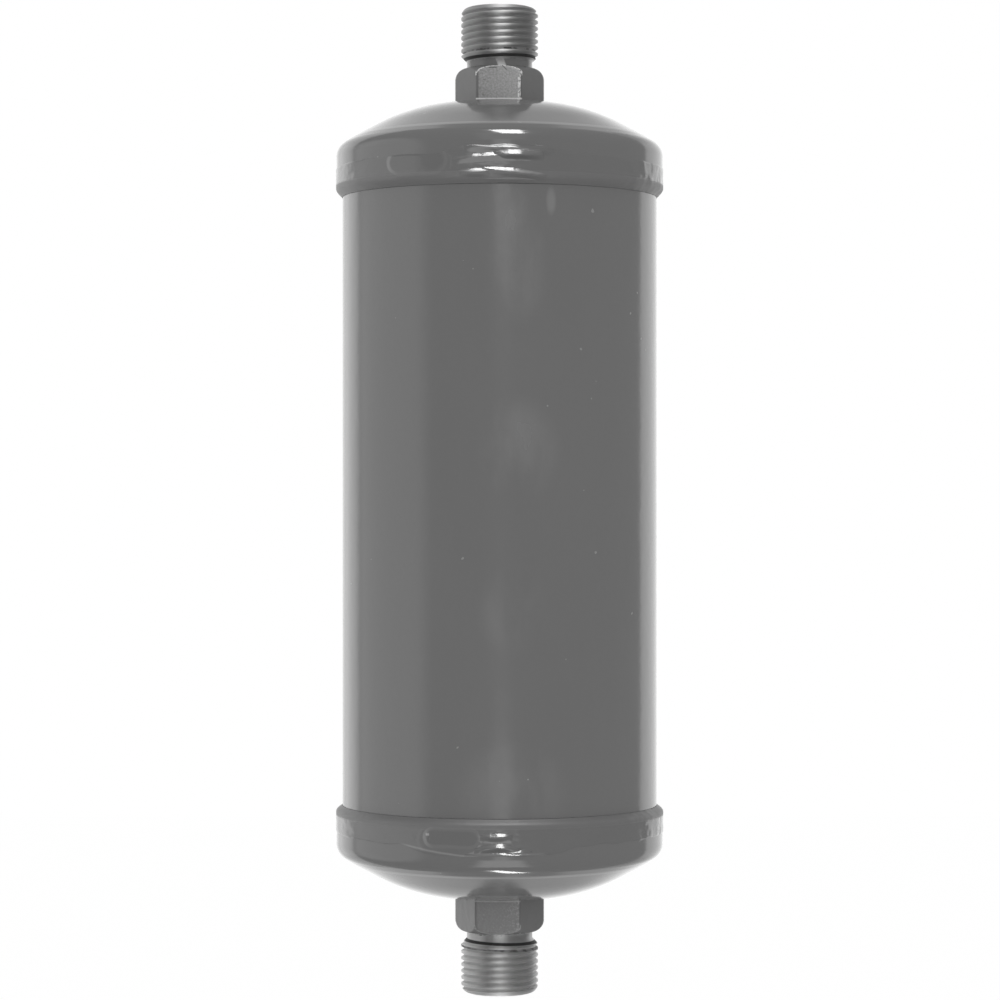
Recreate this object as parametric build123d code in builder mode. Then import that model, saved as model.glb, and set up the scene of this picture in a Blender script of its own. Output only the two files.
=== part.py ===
from build123d import *
import math
import os

os.makedirs("parts", exist_ok=True)

# Filter drier: a steel can closed by two drawn domes, a threaded hex fitting in
# each, and a moulded desiccant block held inside by a spring. Millimetres, the
# axis along Z, inlet up, origin at the middle of the can.

# Can and end caps
shell_d = 77.8
shell_wall = 1.6
shell_half = 82.0
cap_wall = 1.5
skirt_lap = 5.0
land_r = 9.4
shoulder_r = 44.5
flank_lean = 28.4
press_r = 16.0
press_inset = 3.9
rim_lean = 32.0
knuckle_r = 3.8

# Girth welds
weld_foot = 2.4
weld_belly = 0.8
weld_lean = 0.18
weld_crown = 0.22
weld_crown_rise = 1.2
weld_half_crown = 0.17
weld_lap = 5.6

# Fittings: 3/4-16 UNF on a 3/4 in hexagon
hex_af = 19.05
hex_h = 8.8
hex_round = 2.8
thread_d = 19.05
thread_h = 10.6
neck_inset = 1.42
neck_h = 2.5
lead_h = 2.0
lead_inset = 1.62
lead_bulge = 0.2
port_d = 11.2
port_lead = 0.8
spigot_wall = 2.4
spigot_len = 3.2
inlet_turn = -1.0
outlet_turn = -3.0
braze_leg = 1.4
braze_throat = 0.45

# Desiccant block with its pads, meshes and plates
core_gap = 4.3
core_round = 3.0
core_bore_d = 17.0
core_bore_taper = 4.0
core_bore_share = 0.7
pad_h = 5.5
pad_gap = 0.3
seal_h = 12.0
seal_gap = 0.05
mesh_t = 0.9
mesh_pitch = 7.2
mesh_wire = 1.7
mesh_rim = 2.2
plate_t = 1.2
plate_gap = 0.4
plate_bend = 1.6
plate_hole_d = 5.2
ring_counts = (6, 12, 16)
ring_shares = (0.27, 0.54, 0.83)
inlet_plate_drop = 19.2
inlet_cup_h = 8.0
outlet_cup_h = 17.0
flange_gap = 0.3

# Spring, its seat and the retaining ring
spring_wire_d = 3.2
spring_top_gap = 4.4
spring_foot_share = 0.667
spring_turns = 4.5
spring_gap = 0.1
seat_t = 1.0
seat_lip = 3.6
seat_gap = 0.3
ring_off = 0.8
ring_rise = 1.67
ring_gap = 0.05

# Sizes that follow from the ones above
shell_r = shell_d / 2
shell_bore_r = shell_r - shell_wall
cap_bore_r = shell_r
cap_r = cap_bore_r + cap_wall
skirt_z = shell_half - skirt_lap
thread_r = thread_d / 2
neck_r = thread_r - neck_inset
face_r = thread_r - lead_inset
port_r = port_d / 2
spigot_r = port_r + spigot_wall
core_r = shell_bore_r - core_gap
plate_r = shell_bore_r - plate_gap
pad_r = shell_bore_r - pad_gap
flange_r = cap_bore_r - flange_gap
spring_wire_r = spring_wire_d / 2
hole_r = plate_hole_d / 2
inlet_plate_z = shell_half - inlet_plate_drop
inlet_top_z = inlet_plate_z + plate_t
inlet_mesh_z = inlet_plate_z - mesh_t
core_top_z = inlet_mesh_z - pad_h
outlet_plate_z = outlet_cup_h - shell_half
outlet_pad_z = outlet_plate_z + mesh_t
core_foot_z = outlet_pad_z + pad_h
flange_foot_z = -shell_half - plate_t


def lean_spot(centre, radius, degrees):
    """Point on an arc where its outward normal leans so far from the axis."""
    turn = math.radians(degrees)
    return (centre[0] + radius * math.sin(turn), centre[1] + radius * math.cos(turn))


def next_centre(centre, radius, degrees, next_radius, next_x):
    """Centre at next_x of an arc that shares the last arc's tangent line at a lean."""
    turn = math.radians(degrees)
    along = centre[0] * math.sin(turn) + centre[1] * math.cos(turn) + radius - next_radius
    return (next_x, (along - next_x * math.sin(turn)) / math.cos(turn))


# Dome: flat land, shoulder arc, flank, press line, rim and knuckle, each tangent.
# The arcs are laid from the land down, then lifted so that the knuckle starts
# where the retaining ring below the outlet plate needs it.
press_lean = (flank_lean + rim_lean) / 2
press_x = cap_r - press_inset - press_r * math.sin(math.radians(press_lean))
shoulder_0 = (land_r, -shoulder_r)
press_0 = next_centre(shoulder_0, shoulder_r, flank_lean, press_r, press_x)
knuckle_0 = next_centre(press_0, press_r, rim_lean, knuckle_r, cap_r - knuckle_r)
land_z = shell_half + plate_t + ring_rise - knuckle_0[1]
shoulder_c = (shoulder_0[0], shoulder_0[1] + land_z)
press_c = (press_0[0], press_0[1] + land_z)
knuckle_c = (knuckle_0[0], knuckle_0[1] + land_z)


def dome_arcs(inset):
    """The dome's arcs from land to skirt, each as three points, moved in by a wall."""
    bends = (
        (shoulder_c, shoulder_r, 0, flank_lean),
        (press_c, press_r, flank_lean, rim_lean),
        (knuckle_c, knuckle_r, rim_lean, 90),
    )
    return [
        [lean_spot(centre, radius - inset, lean) for lean in (low, (low + high) / 2, high)]
        for centre, radius, low, high in bends
    ]


dome_out = dome_arcs(0)
dome_in = dome_arcs(cap_wall)

# Drawn cap of even wall, its skirt slipped over the tube
with BuildPart() as inlet_end_cap:
    with BuildSketch(Plane.XZ):
        with BuildLine():
            Line((spigot_r, land_z), dome_out[0][0])
            for arc, after in zip(dome_out, dome_out[1:] + [None]):
                ThreePointArc(*arc)
                if after:
                    Line(arc[2], after[0])
            Polyline(dome_out[2][2], (cap_r, skirt_z), (cap_bore_r, skirt_z), dome_in[2][2])
            for arc, after in zip(dome_in, dome_in[1:] + [None]):
                ThreePointArc(*arc)
                if after:
                    Line(arc[2], after[0])
            Polyline(dome_in[0][0], (spigot_r, land_z - cap_wall), (spigot_r, land_z))
        make_face()
    revolve(axis=Axis.Z)
inlet_end_cap.part.label = "inlet_end_cap"
export_step(inlet_end_cap.part, "parts/inlet_end_cap.step")

with BuildPart() as outlet_end_cap:
    mirror(inlet_end_cap.part, about=Plane.XY)
outlet_end_cap.part.label = "outlet_end_cap"
export_step(outlet_end_cap.part, "parts/outlet_end_cap.step")

with BuildPart() as shell_tube:
    with BuildSketch(Plane.XY.offset(-shell_half)):
        Circle(shell_r)
        Circle(shell_bore_r, mode=Mode.SUBTRACT)
    extrude(amount=2 * shell_half)
shell_tube.part.label = "shell_tube"
export_step(shell_tube.part, "parts/shell_tube.step")

# Girth weld: a rounded bead from the tube up over the skirt's rim
with BuildPart() as inlet_girth_weld:
    with BuildSketch(Plane.XZ):
        with BuildLine():
            foot = (shell_r, skirt_z - weld_foot)
            lap = (cap_r, skirt_z + weld_lap)
            crest = (cap_r + weld_crown, skirt_z + weld_crown_rise)
            ThreePointArc(foot, (cap_r - weld_lean, skirt_z - weld_belly), crest)
            ThreePointArc(crest, (cap_r + weld_half_crown, skirt_z + weld_lap / 2), lap)
            Polyline(lap, (cap_r, skirt_z), (shell_r, skirt_z), foot)
        make_face()
    revolve(axis=Axis.Z)
inlet_girth_weld.part.label = "inlet_girth_weld"
export_step(inlet_girth_weld.part, "parts/inlet_girth_weld.step")

with BuildPart() as outlet_girth_weld:
    mirror(inlet_girth_weld.part, about=Plane.XY)
outlet_girth_weld.part.label = "outlet_girth_weld"
export_step(outlet_girth_weld.part, "parts/outlet_girth_weld.step")

# Fitting turned from hexagon bar: spigot, hexagon, undercut neck, threaded end, port
hex_top_z = land_z + hex_h
hex_corner_r = hex_af / 2 / math.cos(math.radians(30))
bar_side = hex_corner_r - hex_round
arc_dip = hex_round * (1 - math.sin(math.radians(45)))
neck_z = hex_top_z + neck_h
lead_z = neck_z + thread_h
end_z = lead_z + lead_h
spigot_z = land_z - spigot_len
with BuildPart() as inlet_fitting:
    with BuildSketch(Plane.XY.offset(land_z)):
        RegularPolygon(hex_af / 2, 6, major_radius=False, rotation=inlet_turn)
    extrude(amount=hex_top_z - land_z)
    with BuildSketch(Plane.XZ):
        with BuildLine():
            Polyline(
                (bar_side, hex_top_z), (0, hex_top_z), (0, land_z), (hex_corner_r, land_z),
                (hex_corner_r, hex_top_z - hex_round),
            )
            ThreePointArc(
                (hex_corner_r, hex_top_z - hex_round),
                (hex_corner_r - arc_dip, hex_top_z - arc_dip),
                (bar_side, hex_top_z),
            )
        make_face()
    revolve(axis=Axis.Z, mode=Mode.INTERSECT)
    with BuildSketch(Plane.XZ):
        with BuildLine():
            Polyline(
                (0, hex_top_z), (neck_r, hex_top_z), (neck_r, neck_z),
                (thread_r, neck_z + thread_r - neck_r), (thread_r, lead_z),
            )
            ThreePointArc(
                (thread_r, lead_z),
                ((thread_r + face_r) / 2 + lead_bulge, (lead_z + end_z) / 2 + lead_bulge),
                (face_r, end_z),
            )
            Polyline((face_r, end_z), (0, end_z), (0, hex_top_z))
        make_face()
    revolve(axis=Axis.Z)
    with BuildSketch(Plane.XY.offset(spigot_z)):
        Circle(spigot_r)
    extrude(amount=spigot_len)
    with BuildSketch(Plane.XZ):
        Polygon(
            (0, spigot_z), (port_r, spigot_z), (port_r, end_z - port_lead),
            (port_r + port_lead, end_z), (0, end_z),
            align=None,
        )
    revolve(axis=Axis.Z, mode=Mode.SUBTRACT)
inlet_fitting.part.label = "inlet_fitting"
export_step(inlet_fitting.part, "parts/inlet_fitting.step")

with BuildPart() as outlet_fitting:
    add(inlet_fitting.part.mirror(Plane.XY), rotation=(0, 0, outlet_turn - inlet_turn))
outlet_fitting.part.label = "outlet_fitting"
export_step(outlet_fitting.part, "parts/outlet_fitting.step")

# Braze fillet round the spigot, inside the cap
braze_z = land_z - cap_wall
with BuildPart() as inlet_braze_ring:
    with BuildSketch(Plane.XZ):
        with BuildLine():
            Polyline(
                (spigot_r, braze_z - braze_leg), (spigot_r, braze_z),
                (spigot_r + braze_leg, braze_z),
            )
            ThreePointArc(
                (spigot_r + braze_leg, braze_z),
                (spigot_r + braze_throat, braze_z - braze_throat),
                (spigot_r, braze_z - braze_leg),
            )
        make_face()
    revolve(axis=Axis.Z)
inlet_braze_ring.part.label = "inlet_braze_ring"
export_step(inlet_braze_ring.part, "parts/inlet_braze_ring.step")

with BuildPart() as outlet_braze_ring:
    mirror(inlet_braze_ring.part, about=Plane.XY)
outlet_braze_ring.part.label = "outlet_braze_ring"
export_step(outlet_braze_ring.part, "parts/outlet_braze_ring.step")

# Inlet plate: a perforated cup pressed from sheet, open towards the spring
plate_side_r = plate_r - plate_t
with BuildPart() as inlet_perforated_plate:
    with BuildSketch(Plane.XZ) as inlet_cup:
        Polygon(
            (0, inlet_plate_z), (plate_r, inlet_plate_z),
            (plate_r, inlet_plate_z + inlet_cup_h), (plate_side_r, inlet_plate_z + inlet_cup_h),
            (plate_side_r, inlet_top_z), (0, inlet_top_z),
            align=None,
        )
        corners = inlet_cup.vertices()
        fillet(corners.sort_by_distance((plate_r, inlet_plate_z))[0], plate_bend)
        corners = inlet_cup.vertices()
        fillet(corners.sort_by_distance((plate_side_r, inlet_top_z))[0], plate_bend - plate_t)
    revolve(axis=Axis.Z)
    with BuildSketch(Plane.XY.offset(inlet_plate_z)):
        Circle(hole_r)
        for count, share in zip(ring_counts, ring_shares):
            with PolarLocations(share * plate_r, count):
                Circle(hole_r)
    extrude(amount=plate_t, mode=Mode.SUBTRACT)
inlet_perforated_plate.part.label = "inlet_perforated_plate"
export_step(inlet_perforated_plate.part, "parts/inlet_perforated_plate.step")

# Outlet plate: the same sheet drawn as a hat, its flange caught under the tube's end
with BuildPart() as outlet_perforated_plate:
    with BuildSketch(Plane.XZ) as outlet_cup:
        Polygon(
            (0, outlet_plate_z), (plate_r, outlet_plate_z), (plate_r, -shell_half),
            (flange_r, -shell_half), (flange_r, flange_foot_z), (plate_side_r, flange_foot_z),
            (plate_side_r, outlet_plate_z - plate_t), (0, outlet_plate_z - plate_t),
            align=None,
        )
        corners = outlet_cup.vertices()
        fillet(corners.sort_by_distance((plate_r, outlet_plate_z))[0], plate_bend)
        corners = outlet_cup.vertices()
        inside = (plate_side_r, outlet_plate_z - plate_t)
        fillet(corners.sort_by_distance(inside)[0], plate_bend - plate_t)
        corners = outlet_cup.vertices()
        fillet(corners.sort_by_distance((plate_side_r, flange_foot_z))[0], plate_bend)
    revolve(axis=Axis.Z)
    with BuildSketch(Plane.XY.offset(outlet_plate_z)):
        Circle(hole_r)
        for count, share in zip(ring_counts, ring_shares):
            with PolarLocations(share * plate_r, count):
                Circle(hole_r)
    extrude(amount=-plate_t, mode=Mode.SUBTRACT)
outlet_perforated_plate.part.label = "outlet_perforated_plate"
export_step(outlet_perforated_plate.part, "parts/outlet_perforated_plate.step")

# Round wire ring wedged between the outlet plate's flange and the cap's knuckle
knuckle_in = knuckle_r - cap_wall
ring_fit = knuckle_in**2 - ring_off**2 - ring_rise**2
ring_wire_r = ring_fit / 2 / (knuckle_in - ring_rise)
with BuildPart() as outlet_retaining_ring:
    with BuildSketch(Plane.XZ):
        with Locations((knuckle_c[0] + ring_off, flange_foot_z - ring_wire_r)):
            Circle(ring_wire_r - ring_gap)
    revolve(axis=Axis.Z)
outlet_retaining_ring.part.label = "outlet_retaining_ring"
export_step(outlet_retaining_ring.part, "parts/outlet_retaining_ring.step")

# Wire meshes: square gaps wherever a whole one fits inside the rim
mesh_gap = mesh_pitch - mesh_wire
mesh_reach = int(plate_r // mesh_pitch)
mesh_steps = [step * mesh_pitch for step in range(-mesh_reach, mesh_reach + 1)]
mesh_cells = [
    (x, y)
    for x in mesh_steps
    for y in mesh_steps
    if math.hypot(abs(x) + mesh_gap / 2, abs(y) + mesh_gap / 2) < plate_r - mesh_rim
]
with BuildPart() as inlet_mesh_screen:
    with BuildSketch(Plane.XY.offset(inlet_mesh_z)):
        Circle(plate_r)
        with Locations(*mesh_cells):
            Rectangle(mesh_gap, mesh_gap, mode=Mode.SUBTRACT)
    extrude(amount=mesh_t)
inlet_mesh_screen.part.label = "inlet_mesh_screen"
export_step(inlet_mesh_screen.part, "parts/inlet_mesh_screen.step")

with BuildPart() as outlet_mesh_screen:
    with BuildSketch(Plane.XY.offset(outlet_plate_z)):
        Circle(plate_r)
        with Locations(*mesh_cells):
            Rectangle(mesh_gap, mesh_gap, mode=Mode.SUBTRACT)
    extrude(amount=mesh_t)
outlet_mesh_screen.part.label = "outlet_mesh_screen"
export_step(outlet_mesh_screen.part, "parts/outlet_mesh_screen.step")

# Fibre pads at both ends of the block
with BuildPart() as inlet_filter_pad:
    with BuildSketch(Plane.XY.offset(core_top_z)):
        Circle(pad_r)
    extrude(amount=pad_h)
inlet_filter_pad.part.label = "inlet_filter_pad"
export_step(inlet_filter_pad.part, "parts/inlet_filter_pad.step")

with BuildPart() as outlet_filter_pad:
    with BuildSketch(Plane.XY.offset(outlet_pad_z)):
        Circle(pad_r)
    extrude(amount=pad_h)
outlet_filter_pad.part.label = "outlet_filter_pad"
export_step(outlet_filter_pad.part, "parts/outlet_filter_pad.step")

# Moulded block with a tapered blind bore open to the outlet
core_bore_r = core_bore_d / 2
core_bore_top_r = core_bore_r - core_bore_taper / 2
core_bore_z = core_foot_z + (core_top_z - core_foot_z) * core_bore_share
with BuildPart() as desiccant_core:
    with BuildSketch(Plane.XZ) as block:
        Polygon(
            (core_bore_r, core_foot_z), (core_r, core_foot_z), (core_r, core_top_z),
            (0, core_top_z), (0, core_bore_z), (core_bore_top_r, core_bore_z),
            align=None,
        )
        corners = block.vertices()
        fillet(corners.sort_by_distance((core_r, core_top_z))[0], core_round)
        corners = block.vertices()
        fillet(corners.sort_by_distance((core_bore_top_r, core_bore_z))[0], core_round)
    revolve(axis=Axis.Z)
desiccant_core.part.label = "desiccant_core"
export_step(desiccant_core.part, "parts/desiccant_core.step")

# Felt ring that closes the gap round the block's outlet end
with BuildPart() as core_seal_ring:
    with BuildSketch(Plane.XY.offset(core_foot_z)):
        Circle(pad_r)
        Circle(core_r + seal_gap, mode=Mode.SUBTRACT)
    extrude(amount=seal_h)
core_seal_ring.part.label = "core_seal_ring"
export_step(core_seal_ring.part, "parts/core_seal_ring.step")

# Conical spring between the inlet plate's seat and the inlet cap
spring_foot_r = plate_r * spring_foot_share
spring_top_r = spigot_r + spring_top_gap
spring_foot_z = inlet_top_z + seat_t + spring_wire_r + spring_gap
spring_rise = land_z - cap_wall - spring_wire_r - spring_gap - spring_foot_z
with BuildPart() as pressure_spring:
    with BuildLine():
        coil = Helix(
            pitch=spring_rise / spring_turns,
            height=spring_rise,
            radius=spring_foot_r,
            center=(0, 0, spring_foot_z),
            cone_angle=-math.degrees(math.atan((spring_foot_r - spring_top_r) / spring_rise)),
        )
    with BuildSketch(Plane(origin=coil @ 0, z_dir=coil % 0)):
        Circle(spring_wire_r)
    sweep(path=coil, is_frenet=True)
pressure_spring.part.label = "pressure_spring"
export_step(pressure_spring.part, "parts/pressure_spring.step")

# Spring seat: a pressed ring whose lip keeps the bottom coil central
lip_r = spring_foot_r + spring_wire_r + seat_gap
with BuildPart() as spring_seat:
    with BuildSketch(Plane.XZ):
        Polygon(
            (spring_foot_r - spring_wire_r, inlet_top_z), (lip_r + seat_t, inlet_top_z),
            (lip_r + seat_t, inlet_top_z + seat_t + seat_lip),
            (lip_r, inlet_top_z + seat_t + seat_lip), (lip_r, inlet_top_z + seat_t),
            (spring_foot_r - spring_wire_r, inlet_top_z + seat_t),
            align=None,
        )
    revolve(axis=Axis.Z)
spring_seat.part.label = "spring_seat"
export_step(spring_seat.part, "parts/spring_seat.step")
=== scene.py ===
import math

import bpy
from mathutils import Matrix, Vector, noise


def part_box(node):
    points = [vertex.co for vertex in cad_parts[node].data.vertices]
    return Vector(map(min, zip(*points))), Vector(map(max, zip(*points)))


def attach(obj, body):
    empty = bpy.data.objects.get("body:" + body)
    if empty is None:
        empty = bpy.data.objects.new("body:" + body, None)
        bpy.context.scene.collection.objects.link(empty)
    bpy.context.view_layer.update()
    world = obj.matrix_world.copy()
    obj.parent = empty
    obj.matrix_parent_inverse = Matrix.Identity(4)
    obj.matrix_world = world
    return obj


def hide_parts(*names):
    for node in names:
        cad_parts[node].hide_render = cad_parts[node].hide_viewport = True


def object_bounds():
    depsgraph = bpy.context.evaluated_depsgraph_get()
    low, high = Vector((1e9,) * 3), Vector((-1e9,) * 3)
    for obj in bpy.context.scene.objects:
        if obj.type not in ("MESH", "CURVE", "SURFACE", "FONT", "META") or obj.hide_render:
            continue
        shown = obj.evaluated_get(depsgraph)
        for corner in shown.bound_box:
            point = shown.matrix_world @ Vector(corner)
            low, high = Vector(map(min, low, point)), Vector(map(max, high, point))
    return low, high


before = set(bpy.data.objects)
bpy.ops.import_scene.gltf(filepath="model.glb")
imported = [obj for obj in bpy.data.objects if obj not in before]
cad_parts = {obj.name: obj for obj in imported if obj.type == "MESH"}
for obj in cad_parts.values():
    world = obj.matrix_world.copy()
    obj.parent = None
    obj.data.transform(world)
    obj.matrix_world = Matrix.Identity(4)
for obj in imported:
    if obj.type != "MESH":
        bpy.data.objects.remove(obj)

CAD_LOW, CAD_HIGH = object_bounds()

# Filter drier, in metres, axis along Z, inlet up. Sizes come from the frame's
# boxes where it has them; the rest are named here.
MM = 0.001
TURN = 2 * math.pi

SHELL_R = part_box("shell_tube")[1][0]
CAP_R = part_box("inlet_end_cap")[1][0]
BEAD_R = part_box("inlet_girth_weld")[1][0]
BEAD_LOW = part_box("inlet_girth_weld")[0][2]
BEAD_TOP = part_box("inlet_girth_weld")[1][2]
SKIRT_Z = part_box("inlet_end_cap")[0][2]
LAND_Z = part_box("inlet_end_cap")[1][2]
SPIGOT_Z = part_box("inlet_fitting")[0][2]
END_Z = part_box("inlet_fitting")[1][2]

# Fittings
THREAD_R = 9.525 * MM
PITCH = 25.4 / 16 * MM
THREAD_DEPTH = 0.42 * PITCH
CREST_HALF = 0.14 * PITCH
FLANK = math.tan(math.radians(60))
HEX_FLAT = 9.525 * MM
HEX_CORNER = HEX_FLAT / math.cos(math.radians(30))
HEX_ROUND = 2.8 * MM
HEX_BEVEL = 0.12 * MM
HEX_TOP = LAND_Z + 8.8 * MM
NECK_R = 8.1 * MM
NECK_TOP = HEX_TOP + 1.7 * MM
LEAD_Z = END_Z - 2.0 * MM
FACE_R = 7.9 * MM
PORT_R = 5.6 * MM
PORT_LEAD = 0.8 * MM
SPIGOT_R = 8.0 * MM
INLET_TURN = math.radians(-1)
OUTLET_TURN = math.radians(-3)

# The lead-in is an arc that stops short of a full quarter circle
LEAD_CURVE = 0.96
LEAD_FULL = 1 - math.sqrt(1 - LEAD_CURVE)

# Small fillet where the neck leaves the hexagon
FILLET_OUT = 0.05 * MM
FILLET_LOW = 0.02 * MM
FILLET_HIGH = 0.25 * MM

# Girth welds: how the bead wanders, swells and dies out at its toe
BEAD_GRAIN = 9
TOE_DROP = 0.3 * MM
TOE_WANDER = 0.5 * MM
TOE_DIVE = 0.9
TOE_SINK = 0.08 * MM
FOOT_RISE = 0.03 * MM
SHOULDER_POWER = 0.75
SHOULDER_CROWN = 0.18
EVEN_SWELL = 0.16
LUMP_SWELL = 0.26
FINE_SWELL = 0.12
LAP_SWELL = 0.45
LAP_HALF_HIGH = 3.2 * MM
LAP_EDGE_IN = 0.45 * MM
LAP_EDGE_OUT = 0.15 * MM

# Fineness of the meshes
FITTING_STEPS = 240
FLAT_STEPS = 4
ROUND_STEPS = 30
THREAD_STEP = PITCH / 20
BEAD_STEPS = 900
BEAD_ROWS = 40

# Turning marks spread the shine along the axis
TURNED_SPREAD = 0.90
QUARTER_TURN = 0.25

# Camera, level with the part's middle
CAMERA_DISTANCE = 0.800
CAMERA_ASIDE = 0.0001
VIEW_WIDTH = 0.248
SENSOR = 36.0


def closed_rings(name, rings, sharp=()):
    """Mesh from closed rings of points, each joined to the next and the last to the first."""
    count = len(rings[0])
    points = [point for ring in rings for point in ring]
    faces = []
    for row in range(len(rings)):
        here = row * count
        above = (row + 1) % len(rings) * count
        for column in range(count):
            side = (column + 1) % count
            faces.append((here + column, here + side, above + side, above + column))
    mesh = bpy.data.meshes.new(name)
    mesh.from_pydata(points, [], faces)
    mesh.shade_smooth()
    edge_sharp = mesh.attributes.new("sharp_edge", "BOOLEAN", "EDGE")
    marks = [sharp_between(edge.vertices, count, sharp) for edge in mesh.edges]
    edge_sharp.data.foreach_set("value", marks)
    mesh.update()
    piece = bpy.data.objects.new(name, mesh)
    bpy.context.scene.collection.objects.link(piece)
    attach(piece, "root")
    return piece


def sharp_between(ends, count, sharp):
    """Whether an edge lies along a sharp ring, or runs up a sharp column."""
    low, high = sorted(ends)
    if low // count == high // count:
        return low // count in sharp
    return (low // count, low % count) in sharp


def ring(radius, height, count, start=0.0):
    """Level ring of points; radius is a number or a function of the angle."""
    points = []
    for step in range(count):
        angle = start + TURN * step / count
        reach = radius(angle) if callable(radius) else radius
        points.append((reach * math.cos(angle), reach * math.sin(angle), height))
    return points


def hexagon(turn):
    """Radius of the hexagon at an angle, one flat facing -Y when turn is nought."""
    def reach(angle):
        from_flat = (angle - turn + math.pi / 2 + TURN / 12) % (TURN / 6) - TURN / 12
        return HEX_FLAT / math.cos(from_flat)
    return reach


def thread_envelope(height):
    """Largest radius of the threaded end at a height above the hexagon."""
    run_in = NECK_R + max(0.0, height - NECK_TOP)
    if height <= LEAD_Z:
        return min(THREAD_R, run_in)
    share = min(1.0, (height - LEAD_Z) / (END_Z - LEAD_Z))
    drop = (1 - math.sqrt(1 - share ** 2 * LEAD_CURVE)) / LEAD_FULL
    return THREAD_R - (THREAD_R - FACE_R) * drop


def thread_cut(height, angle, start):
    """Depth of the right-hand thread below its crest."""
    along = (height / PITCH - angle / TURN + start) % 1.0
    from_crest = abs(along - 0.5) * PITCH
    return min(THREAD_DEPTH, max(0.0, from_crest - CREST_HALF) * FLANK)


def fitting(name, node, side, turn, thread_start):
    """Hex fitting with a real thread; side is 1 for the inlet and -1 for the outlet."""
    hex_reach = hexagon(turn)
    rings = []
    sharp = set()

    def add(radius, height, hard=False):
        if hard:
            sharp.add(len(rings))
        rings.append(ring(radius, side * height, FITTING_STEPS, turn))

    add(PORT_R, SPIGOT_Z, True)
    add(SPIGOT_R, SPIGOT_Z, True)
    add(SPIGOT_R, LAND_Z, True)
    add(lambda angle: hex_reach(angle) - HEX_BEVEL, LAND_Z, True)
    first = len(rings)
    add(hex_reach, LAND_Z + HEX_BEVEL, True)
    arc_low = HEX_TOP - HEX_ROUND
    flat_high = arc_low - LAND_Z - HEX_BEVEL
    for step in range(1, FLAT_STEPS):
        add(hex_reach, LAND_Z + HEX_BEVEL + flat_high * step / FLAT_STEPS)
    for step in range(ROUND_STEPS + 1):
        swing = math.pi / 2 * step / ROUND_STEPS
        limit = HEX_CORNER - HEX_ROUND * (1 - math.cos(swing))
        add(lambda angle: min(hex_reach(angle), limit), arc_low + HEX_ROUND * math.sin(swing))
    corner_gap = FITTING_STEPS // 6
    for row in range(first, len(rings) - 1):
        sharp.update((row, corner_gap // 2 + corner_gap * corner) for corner in range(6))
    add(NECK_R + FILLET_OUT, HEX_TOP + FILLET_LOW)
    add(NECK_R, HEX_TOP + FILLET_HIGH)
    height = NECK_TOP
    while height < END_Z - THREAD_STEP:
        top = thread_envelope(height)
        level = height

        def reach(angle):
            return min(top, THREAD_R - thread_cut(side * level, angle, thread_start))
        add(reach, height)
        height += THREAD_STEP
    add(FACE_R, END_Z, True)
    add(PORT_R + PORT_LEAD, END_Z, True)
    add(PORT_R, END_Z - PORT_LEAD, True)
    piece = closed_rings(name, rings, sharp)
    if side > 0:
        piece.data.flip_normals()
    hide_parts(node)
    return piece


def smooth(low, high, value):
    """Rises smoothly from nought at low to one at high."""
    share = min(1.0, max(0.0, (value - low) / (high - low)))
    return share * share * (3 - 2 * share)


def girth_weld(name, node, side, seed, foot, lap, front_toe):
    """Painted weld bead: uneven lumps, a wandering toe and a rounded lap at its start.

    foot is where the bead leaves the tube; lap is the angle and height of the lap's
    middle and its half length; front_toe is how far the toe reaches beyond its usual
    line, the middle of that stretch and its half angle.
    """
    shift = Vector((seed, seed * 2.3, seed * 0.7))
    crown = BEAD_R - CAP_R
    rings = []
    for row in range(BEAD_ROWS + 1):
        share = row / BEAD_ROWS
        points = []
        for step in range(BEAD_STEPS):
            angle = TURN * step / BEAD_STEPS
            spot = Vector((math.cos(angle), math.sin(angle), 0)) * BEAD_GRAIN
            wander = noise.noise(spot * 0.8 + shift) * TOE_WANDER
            toe = BEAD_TOP - TOE_DROP + wander + toe_reach(angle, front_toe)
            height = foot + (toe - foot) * share
            climb = max(0.0, (height - foot) / (SKIRT_Z - foot))
            shoulder = smooth(0, 1, climb ** SHOULDER_POWER)
            reach = SHELL_R + FOOT_RISE + (CAP_R + crown * SHOULDER_CROWN - SHELL_R) * shoulder
            lump = noise.noise(Vector((spot.x, spot.y, height / MM * 0.55)) + shift)
            fine = noise.noise(Vector((spot.x * 3, spot.y * 3, height / MM * 1.3)) - shift)
            end_fade = smooth(0, 0.12, share) * smooth(0, 0.08, 1 - share)
            swell = crown * (EVEN_SWELL + LUMP_SWELL * lump + FINE_SWELL * fine)
            reach += end_fade * (swell + crown * LAP_SWELL * in_lap(angle, height, lap))
            if share > TOE_DIVE:
                reach += (CAP_R - TOE_SINK - reach) * smooth(TOE_DIVE, 1, share)
            reach = min(reach, BEAD_R)
            points.append((reach * math.cos(angle), reach * math.sin(angle), side * height))
        rings.append(points)
    rings.append(ring(CAP_R - 0.3 * MM, side * (SKIRT_Z + 0.1 * MM), BEAD_STEPS))
    rings.append(ring(SHELL_R, side * SKIRT_Z, BEAD_STEPS))
    piece = closed_rings(name, rings, {BEAD_ROWS + 1, BEAD_ROWS + 2})
    if side > 0:
        piece.data.flip_normals()
    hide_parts(node)
    return piece


def angle_from(angle, middle):
    """Signed turn from middle to angle, the short way round."""
    return (angle - middle + math.pi) % TURN - math.pi


def toe_reach(angle, front_toe):
    """Extra height of the toe where the welder ran the bead wide."""
    reach, middle, half = front_toe
    return reach * (1 - smooth(half * 0.5, half, abs(angle_from(angle, middle))))


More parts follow.
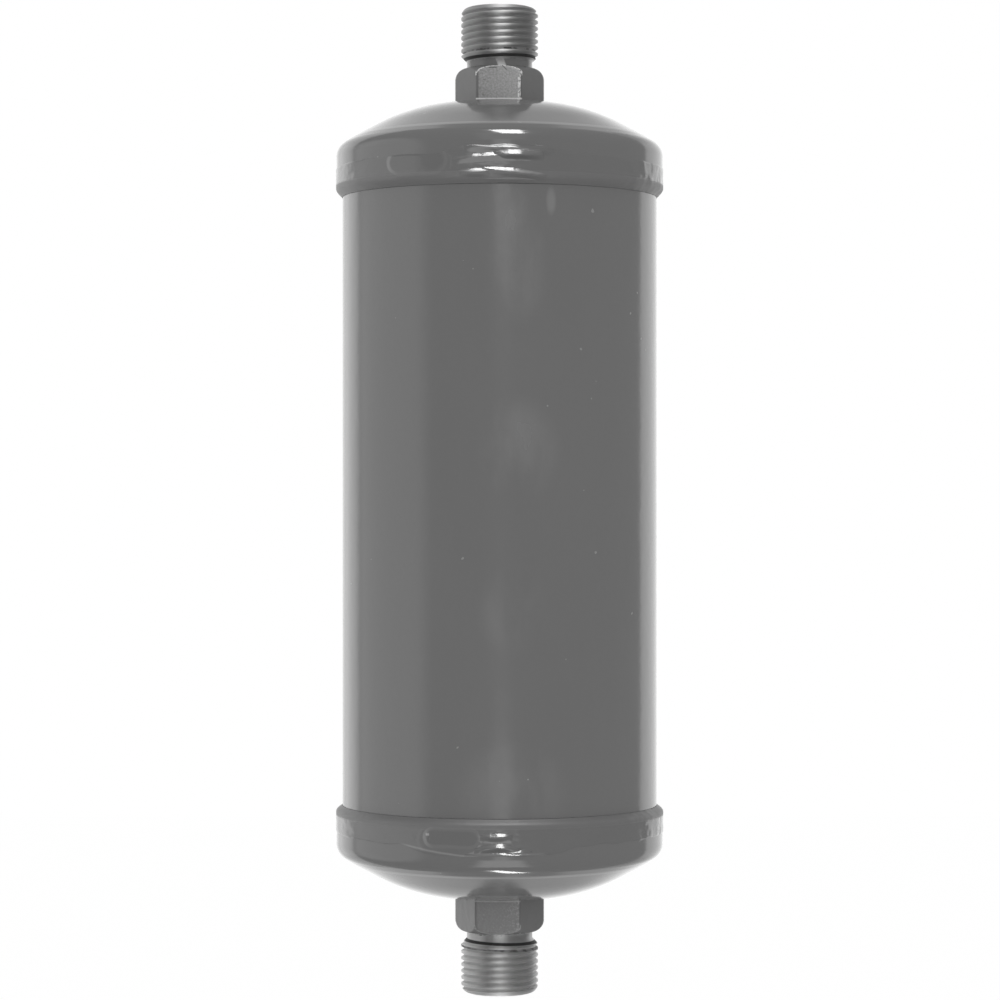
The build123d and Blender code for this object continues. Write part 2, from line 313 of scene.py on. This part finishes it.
def in_lap(angle, height, lap):
    """One inside the rounded lap where the bead's two ends meet, nought outside."""
    lap_angle, middle, half_long = lap
    along = max(0.0, abs(angle_from(angle, lap_angle)) * CAP_R - half_long + LAP_HALF_HIGH)
    reach = math.hypot(along, abs(height - middle))
    return 1 - smooth(LAP_HALF_HIGH - LAP_EDGE_IN, LAP_HALF_HIGH + LAP_EDGE_OUT, reach)


# Materials -----------------------------------------------------------------

class Wire:
    """A shader socket that can be used in an arithmetic expression."""

    def __init__(self, finish, socket):
        self.finish = finish
        self.socket = socket

    def math(self, operation, left, right=0.0):
        return self.finish.node("ShaderNodeMath", {"operation": operation}, {0: left, 1: right})

    def __add__(self, other):
        return self.math("ADD", self, other)

    def __radd__(self, other):
        return self.math("ADD", other, self)

    def __sub__(self, other):
        return self.math("SUBTRACT", self, other)

    def __rsub__(self, other):
        return self.math("SUBTRACT", other, self)

    def __mul__(self, other):
        return self.math("MULTIPLY", self, other)

    def __rmul__(self, other):
        return self.math("MULTIPLY", other, self)

    def __truediv__(self, other):
        return self.math("DIVIDE", self, other)

    def __pow__(self, other):
        return self.math("POWER", self, other)

    def __abs__(self):
        return self.math("ABSOLUTE", self)

    def above(self, low, high):
        """Rises smoothly from nought at low to one at high."""
        return self.finish.node(
            "ShaderNodeMapRange",
            {"interpolation_type": "SMOOTHSTEP", "clamp": True},
            {"Value": self, "From Min": low, "From Max": high, "To Min": 0.0, "To Max": 1.0},
        )

    def below(self, low, high):
        """Falls smoothly from one at low to nought at high."""
        return 1 - self.above(low, high)

    def between(self, low, high, soft):
        """One from low to high, fading over soft outside them."""
        return self.above(low - soft, low) * self.below(high, high + soft)

    def most(self, other):
        """The larger of two values."""
        return self.math("MAXIMUM", self, other)

    def least(self, other):
        """The smaller of two values."""
        return self.math("MINIMUM", self, other)


class Finish:
    """Node tree of a material or the world, filled by expressions."""

    def __init__(self, owner):
        owner.use_nodes = True
        self.owner = owner
        self.tree = owner.node_tree
        self.tree.nodes.clear()

    def node(self, kind, settings=None, sockets=None, output=0):
        """Adds a node; its settings come first, then the values or links of its sockets."""
        made = self.tree.nodes.new(kind)
        for key, value in (settings or {}).items():
            setattr(made, key, value)
        for key, value in (sockets or {}).items():
            if isinstance(value, Wire):
                self.tree.links.new(value.socket, made.inputs[key])
            else:
                made.inputs[key].default_value = value
        return Wire(self, made.outputs[output]) if len(made.outputs) else made

    def place(self):
        """Object coordinates, the same metres as the frame."""
        return self.node("ShaderNodeTexCoord", {}, {}, "Object")

    def parts(self, vector):
        """The x, y and z of a vector."""
        made = self.node("ShaderNodeSeparateXYZ", {}, {0: vector})
        outputs = made.socket.node.outputs
        return [Wire(self, outputs[index]) for index in range(3)]

    def stretch(self, vector, scale):
        """The vector with each axis scaled, which draws a pattern out or packs it."""
        return self.node("ShaderNodeVectorMath", {"operation": "MULTIPLY"}, {0: vector, 1: scale})

    def cloud(self, vector, scale, detail, roughness):
        """Cloudy noise from nought to one; scale is in clouds to the metre."""
        return self.node(
            "ShaderNodeTexNoise", {},
            {"Vector": vector, "Scale": scale, "Detail": detail, "Roughness": roughness},
            "Fac",
        )

    def blend(self, share, first, second):
        """Mix of two colours."""
        return self.node(
            "ShaderNodeMix", {"data_type": "RGBA", "clamp_factor": True},
            {0: share, 6: first, 7: second}, 2,
        )

    def bump(self, height, strength, distance, under=None):
        """Relief from a height, laid over the bump given as under."""
        sockets = {"Strength": strength, "Distance": distance, "Height": height}
        if under is not None:
            sockets["Normal"] = under
        return self.node("ShaderNodeBump", {}, sockets)

    def surface(self, **sockets):
        """Closes the material with a principled shader."""
        names = {key.replace("_", " ").title().replace("Ior", "IOR"): value
                 for key, value in sockets.items()}
        shader = self.node("ShaderNodeBsdfPrincipled", {}, names)
        self.node("ShaderNodeOutputMaterial", {}, {"Surface": shader})


def new_finish(name):
    """An empty material to be filled."""
    return Finish(bpy.data.materials.new(name))


def grey(level, warm=0.0):
    """A grey, or with warm above nought one that leans to brown."""
    return (level * (1 + warm), level, level * (1 - warm), 1.0)


def spot_mask(x, z, centre_x, centre_z, wide, high):
    """Soft round patch on the front, sizes in metres."""
    off_x = (x - centre_x) / wide
    off_z = (z - centre_z) / high
    return (off_x * off_x + off_z * off_z).below(0.05, 1.0)


CAN_GREY = 0.140
SMOOTH_SPAN = (0.93, 1.65)
ROUGH_SPAN = (0.90, 1.6)
PAINT_IOR = 1.5


def paint_grey(paint, tone, span):
    """The can's grey, between two shares of it."""
    low, high = span
    return paint.blend(tone, grey(CAN_GREY * low), grey(CAN_GREY * high))


# Handling smudges down the front, painted lighter as a painted sheen of the front light, and one
# paint
# run, in metres: middle x and z, half width, half height and strength
SMUDGES = (
    (0.0045, 0.0560, 0.008, 0.016, 1.0),
    (0.0020, 0.0700, 0.006, 0.008, 0.8),
    (0.0045, 0.0120, 0.011, 0.014, 1.0),
    (0.0030, -0.0260, 0.010, 0.012, 0.7),
    (0.0030, -0.0690, 0.015, 0.014, 0.9),
)
PAINT_RUN = (0.0122, 0.0708, 0.0014, 0.0040)


def can_paint():
    """Semi-gloss dark grey paint, a paint run, and front smudges painted lighter as a painted sheen.
    """
    paint = new_finish("can_paint")
    place = paint.place()
    x, y, z = paint.parts(place)
    front = y.below(-0.01, 0.0)
    fog = paint.cloud(paint.stretch(place, (1, 1, 0.35)), 70.0, 5.0, 0.6)
    grain = paint.cloud(place, 900.0, 3.0, 0.6)
    smudge = sum(spot_mask(x, z, *spot) * strength for *spot, strength in SMUDGES)
    run = spot_mask(x, z, *PAINT_RUN)
    # Painted sheen: front smudges painted lighter, standing in for the front light on them; also
    # rougher
    smudge_sheen = smudge * front * fog.above(0.38, 0.66)
    tone = smudge_sheen * 0.20 + run * front * 0.42 + fog * 0.10 + grain * 0.05
    colour = paint_grey(paint, tone, SMOOTH_SPAN)
    specks = paint.cloud(place, 520.0, 1.0, 0.4).above(0.800, 0.815)
    colour = paint.blend(specks * 0.3, colour, grey(0.36))
    roughness = 0.13 + fog * 0.05 + smudge_sheen * 0.12 + specks * 0.2
    peel = paint.cloud(place, 260.0, 2.0, 0.5)
    normal = paint.bump(peel, 0.10, 0.0004)
    normal = paint.bump(grain, 0.05, 0.0001, normal)
    paint.surface(base_color=colour, roughness=roughness, ior=PAINT_IOR, normal=normal)
    return paint.owner


# Painted highlight: a paler ring where the drawn cap turns down, standing in for the bright line
# light draws there
HIGHLIGHT_RING_LOW = 35.9 * MM
HIGHLIGHT_RING_HIGH = 36.8 * MM


def cap_paint():
    """The same paint on the drawn caps: glossier, with shallow pressing waves and a painted highlight
    ring.
    """
    paint = new_finish("cap_paint")
    place = paint.place()
    fog = paint.cloud(place, 60.0, 4.0, 0.55)
    grain = paint.cloud(place, 900.0, 3.0, 0.6)
    tone = fog * 0.10 + grain * 0.05
    colour = paint_grey(paint, tone, SMOOTH_SPAN)
    specks = paint.cloud(place, 520.0, 1.0, 0.4).above(0.790, 0.800)
    colour = paint.blend(specks * 0.3, colour, grey(0.4))
    x, y, _ = paint.parts(place)
    radius = (x * x + y * y) ** 0.5
    # Painted highlight: paler ring on the cap's bend
    highlight_ring = radius.between(HIGHLIGHT_RING_LOW, HIGHLIGHT_RING_HIGH, 0.3 * MM)
    colour = paint.blend(highlight_ring * 0.30, colour, grey(0.38))
    wave = paint.cloud(paint.stretch(place, (1, 1, 1.6)), 70.0, 2.0, 0.5)
    normal = paint.bump(wave, 0.06, 0.0010)
    normal = paint.bump(grain, 0.04, 0.0001, normal)
    paint.surface(base_color=colour, roughness=0.10 + fog * 0.05, ior=PAINT_IOR, normal=normal)
    return paint.owner


# Runs of the weld pool on the front, in millimetres: where each starts and ends, how
# far its middle rises above that line, half its width, how steeply its upper side
# leans back, and how much its crest is painted lighter: rubbed paint and a painted highlight.
INLET_RUNS = (
    (-8.5, 83.8, 13.0, 82.8, 0.35, 0.60, 0.68, 0.1),
    (-1.5, 82.5, 10.5, 82.1, 0.00, 1.05, 0.66, 0.2),
    (-11.5, 80.5, 6.0, 81.3, 0.60, 0.42, 0.66, 0.2),
    (-9.6, 77.8, -2.2, 77.8, 0.00, 0.42, 0.66, 0.2),
    (-4.2, 78.4, 11.0, 76.7, 0.20, 0.45, 0.66, 0.2),
    (-3.6, 75.8, 9.0, 75.7, 0.00, 0.20, 0.55, 0.1),
)
OUTLET_RUNS = (
    (-4.6, 79.0, 3.0, 79.0, 0.00, 0.46, 0.86, 0.2),
    (-6.0, 82.3, 5.0, 82.2, -0.70, 0.55, 0.86, 0.2),
    (1.2, 82.9, 7.5, 82.7, -0.10, 0.40, 0.74, 0.1),
    (-8.5, 83.6, 12.0, 83.5, 0.00, 0.50, 0.88, 0.3),
    (-24.0, 81.6, -3.0, 84.3, 0.45, 0.40, 0.15, 0.4),
    (-17.6, 79.1, -16.6, 79.1, 0.00, 0.50, 0.15, 1.0),
    (12.0, 84.0, 30.0, 82.6, 0.30, 0.30, 0.15, 0.1),
)


def weld_paint(name, side, runs, lap, flat):
    """Paint over the weld bead, with ripples, the pool's runs, painted highlights and painted shade.

    lap is the middle, half length and half height of the lap, and flat is how far the
    pool froze flat beside the middle, all in millimetres.
    """
    paint = new_finish(name)
    place = paint.place()
    x, y, z = paint.parts(place)
    fog = paint.cloud(place, 80.0, 4.0, 0.55)
    ripple = paint.cloud(paint.stretch(place, (1, 1, 2.5)), 260.0, 3.0, 0.6)
    spatter = paint.cloud(place, 700.0, 1.0, 0.4).above(0.70, 0.76)
    lumps = paint.cloud(place, 130.0, 2.0, 0.5) * x.above(0.024, 0.037)
    shake = paint.cloud(place, 240.0, 2.0, 0.4) - 0.5
    across = x / MM + shake * 0.8
    height = z * (side / MM) + shake * 0.35
    pool = y * 0.0
    rub_and_highlight = y * 0.0
    for start_x, start_z, end_x, end_z, rise, half, lean, crest_rub_and_highlight in runs:
        along = (across - start_x) / (end_x - start_x)
        inside = (along * (1 - along) * 4.0).most(0.0)
        off = (height - (start_z + along * (end_z - start_z) + inside * rise)) * side
        thick = inside ** 0.7 * half
        face = (thick - off).most(0.0).least(thick * 2.0) * lean
        pool = pool.most(face * off.above(-half - 1.4, -half * 0.6))
        # Crest painted lighter: partly rubbed paint, partly a painted highlight
        crest = abs(off).below(half * 0.1, half) * inside.above(0.0, 0.5)
        rub_and_highlight = rub_and_highlight.most(crest * crest_rub_and_highlight)
    lap_x, lap_z, half_long, half_high = lap
    beyond = (abs(across - lap_x) - (half_long - half_high)).most(0.0)
    rise = height - lap_z
    from_lap = (beyond * beyond + rise * rise) ** 0.5
    # Painted highlight along the lap's edge, brightest at its left end
    lap_edge_highlight = from_lap.between(half_high - 0.5, half_high - 0.1, 0.35)
    lap_edge_highlight = lap_edge_highlight * (0.12 + (lap_x - across).above(half_long * 0.6, half_long) * 0.55)
    # Painted shade: the lap's middle darker
    lap_middle_shade = from_lap.below(half_high * 0.4, half_high * 0.8) * 0.12
    front = y.below(-0.02, -0.01)
    foot = (z * side).below(SKIRT_Z + 0.3 * MM, SKIRT_Z + 1.0 * MM)
    tone = fog * 0.12 + (rub_and_highlight.most(lap_edge_highlight) * 0.9 - lap_middle_shade) * front
    colour = paint_grey(paint, tone, ROUGH_SPAN)
    colour = paint.blend(rub_and_highlight * front * 0.25, colour, grey(0.5))
    normal = paint.bump(ripple, 0.09, 0.0006)
    normal = paint.bump(spatter, 0.06, 0.0003, normal)
    normal = paint.bump(lumps, 0.55, 0.0016, normal)
    normal = paint.bump(pool * front + across.below(-14.0, 0.0) * flat, 1.0, MM, normal)
    roughness = 0.13 + fog * 0.06 + foot * 0.30
    paint.surface(base_color=colour, roughness=roughness, ior=PAINT_IOR, normal=normal)
    return paint.owner


# Greys of the fitting's wear and grime, which also carry painted sheen, highlights and groove shade
WORN_EDGE_AND_HIGHLIGHT = 0.62
SCUFF_AND_SHEEN = 0.46
GOUGE = 0.05
GRIME_AND_SHADE = 0.02


def fitting_steel(name, side, turn, paint_end, ragged, rub_and_highlight, metal_level, grime):
    """Turned steel, painted as far as paint_end.

    ragged is how far the paint's edge wanders, rub_and_highlight how worn the front flat and
    edges are and how strong their painted sheen and painted highlights are, and metal_level
    the grey of the bare steel. grime lists the dark bands where the thread meets the neck:
    height, half width, depth of colour and how broken each is.
    """
    steel = new_finish(name)
    place = steel.place()
    x, y, z = steel.parts(place)
    height = z * side
    depth = x * math.sin(turn) - y * math.cos(turn)
    across = x * math.cos(turn) + y * math.sin(turn)
    radius = (x * x + y * y) ** 0.5
    fog = steel.cloud(place, 500.0, 5.0, 0.65)
    speck = steel.cloud(place, 1500.0, 4.0, 0.75)
    mottle = steel.cloud(place, 2200.0, 2.0, 0.6)
    lathe = steel.cloud(steel.stretch(place, (1, 1, 30)), 260.0, 3.0, 0.6)
    edge = height + (fog - 0.5) * ragged
    slant = x + (height - HEX_TOP) * 0.35
    bare_patch = slant.between(0.0, 1.2 * MM, 0.6 * MM) * y.below(-6.0 * MM, -5.0 * MM)
    bare_patch = bare_patch * height.above(HEX_TOP - 0.2 * MM, HEX_TOP) * rub_and_highlight
    painted = edge.below(paint_end - 0.0003, paint_end + 0.0003) * (1 - bare_patch)
    # Painted shade: thread grooves darkened, more so towards the sides
    groove_shade = radius.below(THREAD_R - THREAD_DEPTH * 0.95, THREAD_R - THREAD_DEPTH * 0.45)
    groove_shade = groove_shade * height.above(NECK_TOP, NECK_TOP + PITCH)
    grime_and_groove_shade = groove_shade * (0.06 + abs(across).above(1.5 * MM, 6.0 * MM) * 0.26)
    for middle, half, strength, broken in grime:
        band = (height - across * 0.03).between(middle - half, middle + half, 0.12 * MM)
        grime_and_groove_shade = grime_and_groove_shade.most(band * (1 - fog.above(0.42, 0.55) * broken) * strength)
    marks = lathe * 0.6 + speck * 0.4
    bare = steel.blend(marks, grey(metal_level * 0.8), grey(metal_level * 1.2))
    flat = depth.above(HEX_FLAT - 0.10 * MM, HEX_FLAT - 0.04 * MM)
    flat = flat * height.below(HEX_TOP - 0.05 * MM, HEX_TOP)
    # Front flat painted lighter, more so to the right: partly scuffed paint, partly a painted sheen
    scuff_and_sheen = flat * rub_and_highlight * (0.62 + across * 30.0 + (mottle - 0.5) * 1.6)
    scuff_and_sheen = scuff_and_sheen * across.between(-4.9 * MM, 5.2 * MM, 0.2 * MM)
    # Painted highlight: pale line along the hexagon's foot on the front flat
    rim_highlight = height.below(LAND_Z + 0.50 * MM, LAND_Z + 0.65 * MM)
    rim_highlight = rim_highlight * depth.above(HEX_FLAT - 0.3 * MM, HEX_FLAT - 0.2 * MM) * speck.above(0.30, 0.42)
    round_edge = depth.between(HEX_FLAT - 0.38 * MM, HEX_FLAT - 0.08 * MM, 0.05 * MM)
    round_edge = round_edge * height.above(HEX_TOP - HEX_ROUND, HEX_TOP - HEX_ROUND * 0.9)
    round_edge = round_edge * speck.above(0.42, 0.50)
    # Pale corner line: partly chipped paint, partly a painted highlight
    corner = across.between(4.7 * MM, 5.3 * MM, 0.1 * MM) * flat * speck.above(0.50, 0.56)
    # Worn paint on the rounded edge, together with the painted highlights above
    worn_and_highlight = (rim_highlight + round_edge + corner).least(1.0) * rub_and_highlight
    scratch_x = across - 0.9 * MM
    scratch = (scratch_x + height - HEX_TOP + 0.3 * MM).between(-0.10 * MM, 0.10 * MM, 0.15 * MM)
    scratch = scratch * scratch_x.between(-1.3 * MM, 0.9 * MM, 0.2 * MM)
    mark = (height - HEX_TOP + 0.75 * MM).between(-0.10 * MM, 0.10 * MM, 0.12 * MM)
    mark = mark * across.between(-2.3 * MM, -0.7 * MM, 0.3 * MM)
    gouged = scratch.most(mark) * y.below(-8.0 * MM, -7.5 * MM) * rub_and_highlight
    chips = speck.above(0.66, 0.72) * flat * 0.5
    paint = paint_grey(steel, fog * 0.10, ROUGH_SPAN)
    paint = steel.blend(scuff_and_sheen * 0.60 + chips * 0.35, paint, grey(SCUFF_AND_SHEEN))
    paint = steel.blend(worn_and_highlight, paint, grey(WORN_EDGE_AND_HIGHLIGHT))
    paint = steel.blend(gouged * 0.8, paint, grey(GOUGE))
    colour = steel.blend(painted, bare, paint)
    colour = steel.blend(grime_and_groove_shade, colour, grey(GRIME_AND_SHADE))
    metal = (1 - painted) * (1 - grime_and_groove_shade)
    lead = height.above(LEAD_Z - 0.5 * MM, LEAD_Z)
    roughness = 0.66 - painted * 0.46 + grime_and_groove_shade * 0.2 + scuff_and_sheen * 0.25 + fog * 0.04 + lead * 0.15
    normal = steel.bump(speck, 0.06 + flat * 0.12, 0.00025)
    normal = steel.bump(fog, 0.12, 0.0004, normal)
    steel.surface(
        base_color=colour, metallic=metal, roughness=roughness, normal=normal,
        anisotropic=TURNED_SPREAD, anisotropic_rotation=QUARTER_TURN,
    )
    return steel.owner


def plain_metal(name, low, high, roughness, scale, stretch=(1, 1, 1), warm=0.0):
    """Bare metal with drawing or rolling marks."""
    metal = new_finish(name)
    place = metal.place()
    marks = metal.cloud(metal.stretch(place, stretch), scale, 4.0, 0.6)
    stain = metal.cloud(place, 60.0, 3.0, 0.5)
    colour = metal.blend(marks * 0.7 + stain * 0.3, grey(low, warm), grey(high, warm))
    normal = metal.bump(marks, 0.2, 0.0002)
    metal.surface(
        base_color=colour, metallic=1.0, roughness=roughness + stain * 0.15, normal=normal
    )
    return metal.owner


def fibre_pad(name, low, high, scale):
    """Matted fibre: crossed strands over a cloudy ground."""
    pad = new_finish(name)
    place = pad.place()
    along = pad.cloud(pad.stretch(place, (1, 12, 4)), scale, 4.0, 0.7)
    across = pad.cloud(pad.stretch(place, (12, 1, 4)), scale, 4.0, 0.7)
    strands = along * 0.5 + across * 0.5
    colour = pad.blend(strands, grey(low, 0.03), grey(high, 0.03))
    normal = pad.bump(strands, 0.8, 0.0006)
    pad.surface(base_color=colour, roughness=0.95, sheen_weight=0.3, normal=normal)
    return pad.owner


def desiccant():
    """Pressed block of fine beads bonded together, with a few dark grains."""
    block = new_finish("desiccant")
    place = block.place()
    beads = block.node(
        "ShaderNodeTexVoronoi", {"feature": "F1"}, {"Vector": place, "Scale": 900.0}, "Distance"
    )
    fog = block.cloud(place, 120.0, 4.0, 0.6)
    dark = block.cloud(place, 1500.0, 1.0, 0.5).above(0.66, 0.70)
    colour = block.blend(fog * 0.6 + beads * 0.4, grey(0.42, 0.04), grey(0.62, 0.04))
    colour = block.blend(dark * 0.7, colour, grey(0.10))
    normal = block.bump(beads, 0.9, 0.0005)
    block.surface(base_color=colour, roughness=0.92, normal=normal)
    return block.owner


def paint_node(node, material):
    """Gives a carried-over CAD node one material in all its slots."""
    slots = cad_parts[node].material_slots
    for place in slots:
        place.material = material


def paint_piece(piece, material):
    """Gives a piece made here its material."""
    piece.data.materials.append(material)


# Pieces ----------------------------------------------------------------------

inlet = fitting(
    "inlet_fitting_threaded", "inlet_fitting", side=1, turn=INLET_TURN, thread_start=0.91
)
outlet = fitting(
    "outlet_fitting_threaded", "outlet_fitting", side=-1, turn=OUTLET_TURN, thread_start=0.48
)
paint_piece(inlet, fitting_steel(
    "inlet_fitting_steel", side=1, turn=INLET_TURN,
    paint_end=NECK_TOP + 0.2 * MM, ragged=0.8 * MM, rub_and_highlight=1.0, metal_level=0.48,
    grime=(
        (NECK_TOP + 0.75 * MM, 0.30 * MM, 1.0, 0.0),
        (NECK_TOP + 2.4 * MM, 0.15 * MM, 0.95, 1.0),
    ),
))
paint_piece(outlet, fitting_steel(
    "outlet_fitting_steel", side=-1, turn=OUTLET_TURN,
    paint_end=HEX_TOP + 0.1 * MM, ragged=3.5 * MM, rub_and_highlight=0.25, metal_level=0.66,
    grime=(
        (NECK_TOP + 0.55 * MM, 0.28 * MM, 1.0, 0.0),
        (NECK_TOP + 2.1 * MM, 0.24 * MM, 0.9, 0.3),
    ),
))

FRONT = math.radians(-90)
inlet_bead = girth_weld(
    "inlet_girth_bead", "inlet_girth_weld", side=1, seed=3.1, foot=BEAD_LOW + 0.1 * MM,
    lap=(math.radians(-118.5), 79.7 * MM, 8.8 * MM), front_toe=(1.9 * MM, FRONT + 0.03, 0.42),
)
outlet_bead = girth_weld(
    "outlet_girth_bead", "outlet_girth_weld", side=-1, seed=8.7, foot=BEAD_LOW + 0.7 * MM,
    lap=(math.radians(-107.5), 80.4 * MM, 8.0 * MM), front_toe=(2.2 * MM, FRONT - 0.05, 0.60),
)
paint_piece(inlet_bead, weld_paint(
    "inlet_weld_paint", side=1, runs=INLET_RUNS, lap=(-19.6, 80.4, 7.2, 3.3), flat=1.5
))
paint_piece(outlet_bead, weld_paint(
    "outlet_weld_paint", side=-1, runs=OUTLET_RUNS, lap=(-11.4, 79.8, 6.8, 2.4), flat=0.3
))

paint_node("shell_tube", can_paint())
caps_paint = cap_paint()
spring_wire = plain_metal(
    "spring_wire", low=0.22, high=0.40, roughness=0.30, scale=700.0, stretch=(1, 1, 6)
)
sheet = plain_metal(
    "pressed_sheet", low=0.42, high=0.60, roughness=0.32, scale=300.0, stretch=(1, 8, 1)
)
mesh_wire = plain_metal("mesh_wire", low=0.38, high=0.58, roughness=0.28, scale=1200.0)
braze = plain_metal(
    "braze_alloy", low=0.36, high=0.55, roughness=0.40, scale=500.0, warm=0.35
)
pad = fibre_pad("glass_fibre_pad", low=0.55, high=0.82, scale=220.0)
felt = fibre_pad("wool_felt", low=0.35, high=0.55, scale=320.0)
for end in ("inlet", "outlet"):
    paint_node(end + "_end_cap", caps_paint)
    paint_node(end + "_braze_ring", braze)
    paint_node(end + "_perforated_plate", sheet)
    paint_node(end + "_mesh_screen", mesh_wire)
    paint_node(end + "_filter_pad", pad)
paint_node("pressure_spring", spring_wire)
paint_node("spring_seat", sheet)
paint_node("outlet_retaining_ring", spring_wire)
paint_node("core_seal_ring", felt)
paint_node("desiccant_core", desiccant())


# Studio ----------------------------------------------------------------------

# Levels of the soft panels as gloss sees them, and of the even fill light
ROOM_LEVEL = 0.30
BACK_LEVEL = 0.55
BACK_FADE = 0.5
BACK_LOW_LEVEL = 0.41
BACK_LOW_FADE = 0.6
BACK_LEFT_LEVEL = 0.35
LEFT_LEVEL = 0.72
FRONT_LEVEL = 2.2
TALL_LEVEL = 0.45
TALL_LOW_LEVEL = 1.5
FILL_LEVEL = 1.03


def studio_world():
    """White for the camera; for gloss, soft panels set out as in a product studio."""
    world = bpy.data.worlds.new("studio")
    bpy.context.scene.world = world
    sky = Finish(world)
    way = sky.node("ShaderNodeTexCoord", {}, {}, "Generated")
    x, y, z = sky.parts(way)
    steep = abs(z)
    low = steep.below(0.25, 0.62)
    back = (y - steep.above(0.55, 0.78) * 0.045).above(0.550, 0.588)
    back_left = (x * -1.0).between(0.52, 0.72, 0.12) * y.above(0.4, 0.5) * steep.below(0.25, 0.42)
    left = (x * -1.0).above(0.755, 0.90) * (1 - y.above(0.50, 0.60))
    front = (y * -1.0).above(0.8, 0.9) * x.between(-0.05, 0.11, 0.04)
    front = front * steep.between(0.12, 0.22, 0.02)
    tall = (y * -1.0).above(0.35, 0.50) * x.between(-0.16, 0.20, 0.14)
    tall = tall * steep.between(0.24, 0.85, 0.04)
    gloss = (
        ROOM_LEVEL
        + back * (BACK_LEVEL - x * BACK_FADE + low * (BACK_LOW_LEVEL + x * BACK_LOW_FADE))
        + back_left * BACK_LEFT_LEVEL
        + left * LEFT_LEVEL
        + front * FRONT_LEVEL
        + tall * (TALL_LEVEL + z.below(-0.30, -0.20) * TALL_LOW_LEVEL)
    )
    rays = sky.node("ShaderNodeLightPath", {}, {}).socket.node.outputs
    camera = Wire(sky, rays["Is Camera Ray"])
    glossy = Wire(sky, rays["Is Glossy Ray"])
    clear = Wire(sky, rays["Is Transmission Ray"])
    plain = FILL_LEVEL * (1 - camera - glossy - clear)
    level = camera + clear + glossy * gloss + plain
    ground = sky.node("ShaderNodeBackground", {}, {"Color": grey(1.0), "Strength": level})
    sky.node("ShaderNodeOutputWorld", {}, {"Surface": ground})


FLOOR_HALF = 3.0
FLOOR_DROP = 0.25


def floor():
    """Pale floor well below the hanging part; white to the camera, still shaded by it."""
    half = FLOOR_HALF
    level = CAD_LOW.z - FLOOR_DROP
    mesh = bpy.data.meshes.new("floor")
    corners = [(-half, -half, level), (half, -half, level), (half, half, level), (-half, half, level)]
    mesh.from_pydata(corners, [], [(0, 1, 2, 3)])
    ground = bpy.data.objects.new("floor", mesh)
    bpy.context.scene.collection.objects.link(ground)
    white = new_finish("floor_white")
    matt = white.node("ShaderNodeBsdfDiffuse", {}, {"Color": grey(0.85)})
    glow = white.node("ShaderNodeEmission", {}, {"Color": grey(1.0), "Strength": 1.0})
    rays = white.node("ShaderNodeLightPath", {}, {}).socket.node.outputs
    seen = Wire(white, rays["Is Camera Ray"]) + Wire(white, rays["Is Transmission Ray"])
    share = seen * 0.98
    seen_floor = white.node("ShaderNodeMixShader", {}, {0: share, 1: matt, 2: glow})
    unseen = white.node("ShaderNodeBsdfTransparent")
    glossy = Wire(white, rays["Is Glossy Ray"])
    shader = white.node("ShaderNodeMixShader", {}, {0: glossy, 1: seen_floor, 2: unseen})
    white.node("ShaderNodeOutputMaterial", {}, {"Surface": shader})
    mesh.materials.append(white.owner)


def strip_light(name, place, aim, wide, high, power):
    """Strip lamp that shows in gloss only; power is in watts."""
    lamp = bpy.data.lights.new(name, "AREA")
    lamp.shape = "RECTANGLE"
    lamp.size = wide
    lamp.size_y = high
    lamp.energy = power
    holder = bpy.data.objects.new(name, lamp)
    bpy.context.scene.collection.objects.link(holder)
    holder.visible_diffuse = False
    holder.location = place
    holder.rotation_mode = "QUATERNION"
    holder.rotation_quaternion = (Vector(aim) - Vector(place)).to_track_quat("-Z", "Y")


def camera():
    """Long lens, level with the middle of the part."""
    lens = bpy.data.cameras.new("camera")
    lens.sensor_width = SENSOR
    lens.lens = SENSOR * CAMERA_DISTANCE / VIEW_WIDTH
    lens.clip_start = 0.05
    lens.clip_end = 20.0
    holder = bpy.data.objects.new("camera", lens)
    bpy.context.scene.collection.objects.link(holder)
    holder.location = (CAMERA_ASIDE, -CAMERA_DISTANCE, 0.0)
    holder.rotation_euler = (math.pi / 2, 0, 0)
    bpy.context.scene.camera = holder


studio_world()
floor()
strip_light(
    "upper_strip", place=(0.045, -0.22, 0.62), aim=(0, 0, 0.08),
    wide=0.130, high=0.32, power=3.0,
)
strip_light(
    "lower_strip", place=(0.007, 0.026, -0.33), aim=(0, 0, -0.08),
    wide=0.022, high=0.13, power=0.15,
)
camera()
bpy.context.scene.view_settings.view_transform = "Standard"
